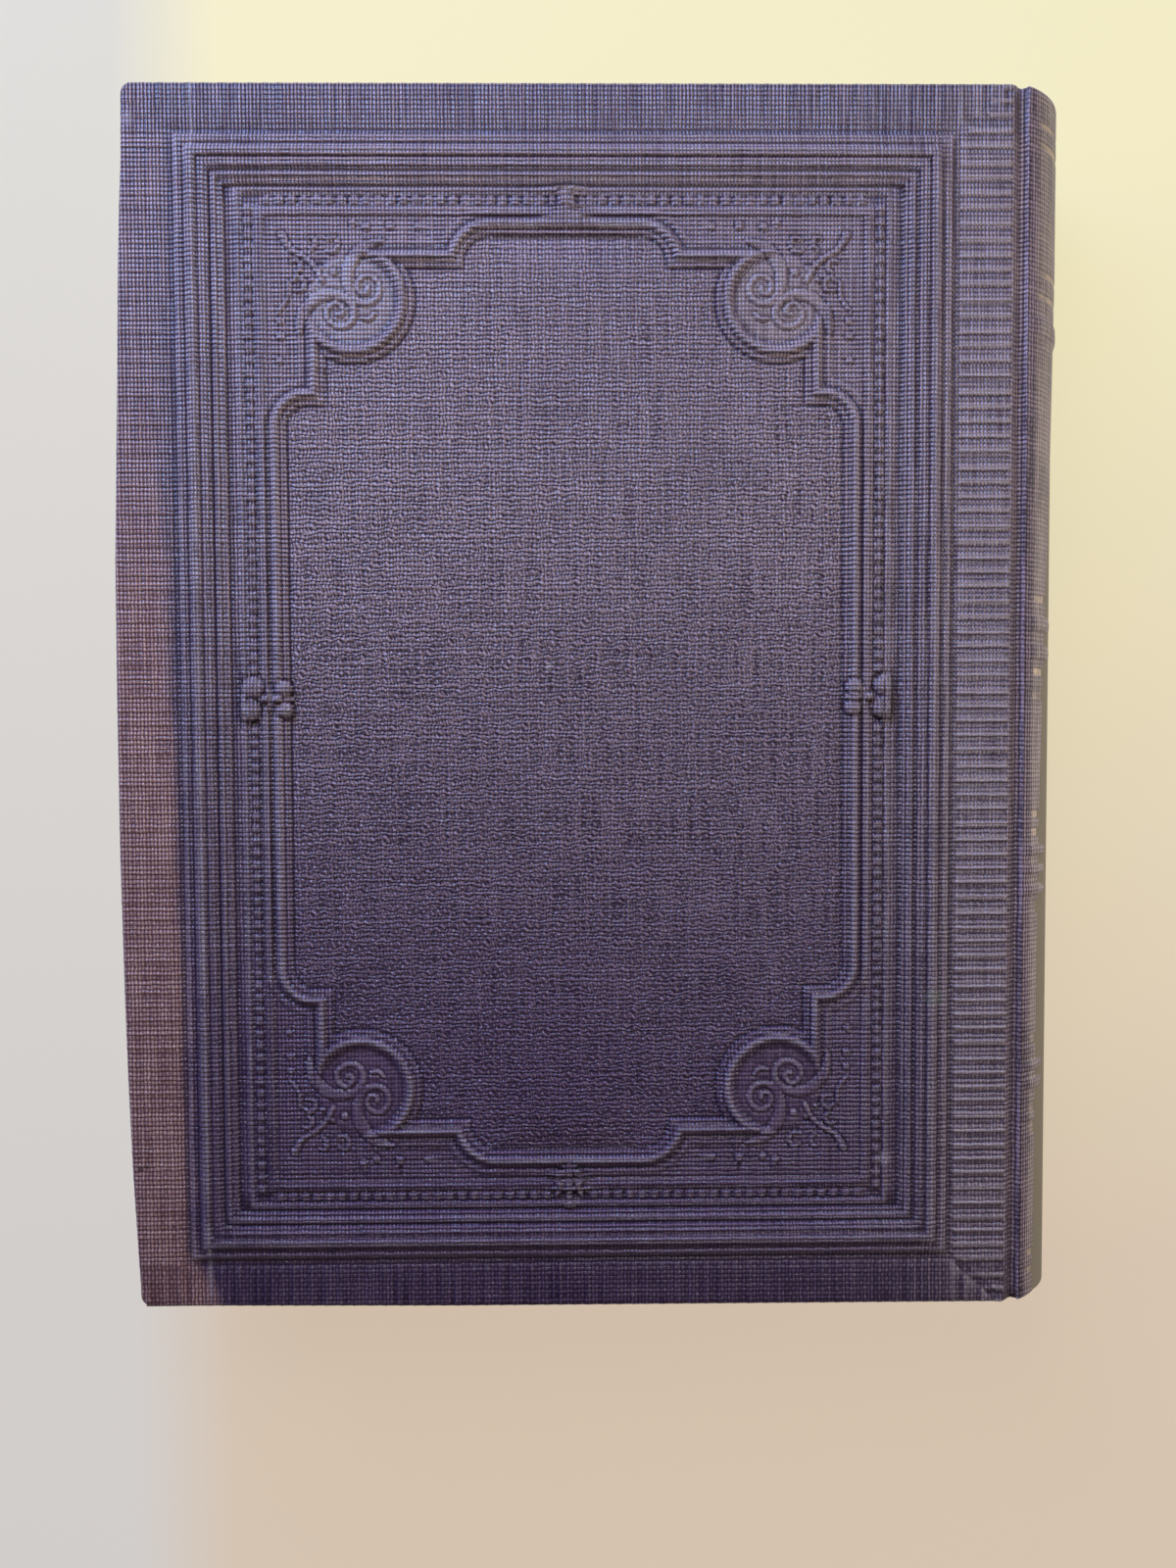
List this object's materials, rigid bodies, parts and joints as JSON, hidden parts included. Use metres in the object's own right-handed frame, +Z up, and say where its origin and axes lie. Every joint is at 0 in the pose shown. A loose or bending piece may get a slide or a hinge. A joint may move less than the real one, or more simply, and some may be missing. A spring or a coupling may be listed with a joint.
{
  "type": "hardback book",
  "caption": "Cloth-bound hardback book with a rounded spine, picture-frame borders stamped in both covers, ribbed margins, and covers that open on cloth joints.",
  "frame": {"origin": "middle of the book's bounding box, on the surface that it lies on", "axes": "+Z up through the rear cover, +Y towards the head, +X towards the spine"},
  "size_m": [0.194, 0.25, 0.0343],
  "materials": {
    "page_paper": "cut edges of aged rag paper",
    "hemp_cord": "twisted hemp",
    "mull_cloth": "open starched weave",
    "lining_paper": "brown kraft paper",
    "endband_silk": "striped woven band",
    "inlay_card": "grey card",
    "book_cloth": "dark purple linen-grain book cloth, blind stamped",
    "endpaper": "smooth coated endpaper",
    "millboard": "rolled millboard"
  },
  "bodies": {
    "book_block": {"text_block": "page_paper", "sewing_cords": "hemp_cord", "spine_mull": "mull_cloth", "spine_lining": "lining_paper", "head_band": "endband_silk", "tail_band": "endband_silk", "spine_inlay": "inlay_card", "spine_cloth": "book_cloth", "rear_flyleaf": "endpaper", "front_flyleaf": "endpaper"},
    "rear_cover": {"rear_board": "millboard", "rear_cover_cloth": "book_cloth", "rear_pastedown": "endpaper"},
    "front_cover": {"front_board": "millboard", "front_cover_cloth": "book_cloth", "front_pastedown": "endpaper"}
  },
  "joints": [
    {"name": "rear_cover_hinge", "type": "hinge", "parent": "book_block", "child": "rear_cover", "pos_m": [0.0831, 0, 0.0332], "axis": [0, 1, 0], "range_deg": [0, 180]},
    {"name": "front_cover_hinge", "type": "hinge", "parent": "book_block", "child": "front_cover", "pos_m": [0.0831, 0, 0.0011], "axis": [0, -1, 0], "range_deg": [0, 180]}
  ]
}
